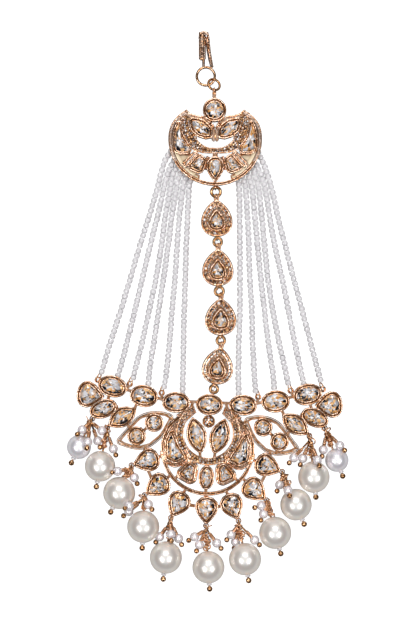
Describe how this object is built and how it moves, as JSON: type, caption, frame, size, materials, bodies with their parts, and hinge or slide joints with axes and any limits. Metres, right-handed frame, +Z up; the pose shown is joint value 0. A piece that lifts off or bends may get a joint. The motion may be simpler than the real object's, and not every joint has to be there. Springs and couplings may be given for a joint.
{
  "type": "side headpiece",
  "caption": "Bridal side headpiece: pierced crescent on a hair hook, chain of pear links, seed-bead strands and a wide stone-set panel fringed with pearl drops.",
  "frame": {"origin": "middle of the bounding box at the table, under the piece lying flat", "axes": "+X right, +Y along the length towards the hair hook, +Z up from the table"},
  "size_m": [0.087, 0.1732, 0.0114],
  "materials": {
    "hook_gold": "polished rose gold plate",
    "cast_gold": "polished antique rose gold plate",
    "wire_gold": "polished rose gold plate",
    "crystal": "clear cut glass, foil backed",
    "inlay": "glossy pale filling",
    "seed_bead": "translucent pearly glass",
    "pearl": "cream pearl coat",
    "pale_pearl": "white pearl coat",
    "small_pearl": "white pearl coat"
  },
  "bodies": {
    "root": {"hair_hook": "hook_gold", "jump_ring": "hook_gold", "upper_crescent": "cast_gold", "upper_round": "crystal", "upper_leaf_stones": "crystal", "upper_wedge_stones": "crystal", "upper_fan_stones": "crystal", "upper_baguettes": "crystal", "upper_drop": "crystal", "upper_inlay": "inlay", "link_1": "cast_gold", "link_2": "cast_gold", "link_3": "cast_gold", "link_4": "cast_gold", "link_stones": "crystal", "link_pave": "crystal", "chain_rings": "wire_gold", "lower_panel": "cast_gold", "row_stone_centre": "crystal", "row_stones_left": "crystal", "row_stones_right": "crystal", "flank_stones_left": "crystal", "flank_stones_right": "crystal", "leaf_stones": "crystal", "petal_stones": "crystal", "crescent_stones": "crystal", "fringe_stones_left": "crystal", "fringe_stone_centre": "crystal", "fringe_stones_right": "crystal", "bead_strand_left_1": "seed_bead", "bead_strand_left_2": "seed_bead", "bead_strand_left_3": "seed_bead", "bead_strand_left_4": "seed_bead", "bead_strand_left_5": "seed_bead", "bead_strand_left_6": "seed_bead", "bead_strand_right_1": "seed_bead", "bead_strand_right_2": "seed_bead", "bead_strand_right_3": "seed_bead", "bead_strand_right_4": "seed_bead", "bead_strand_right_5": "seed_bead", "bead_strand_right_6": "seed_bead", "pearl_1": "pale_pearl", "pearl_2": "pearl", "pearl_3": "pearl", "pearl_4": "pearl", "pearl_5": "pearl", "pearl_6": "pearl", "pearl_7": "pearl", "pearl_8": "pearl", "pearl_9": "pearl", "pearl_10": "pearl", "pearl_11": "pale_pearl", "pearl_pins_left": "wire_gold", "pearl_pins_right": "wire_gold", "drop_rings_left": "wire_gold", "drop_rings_right": "wire_gold", "cluster_pearls_left": "small_pearl", "cluster_pearls_right": "small_pearl"}
  },
  "joints": []
}
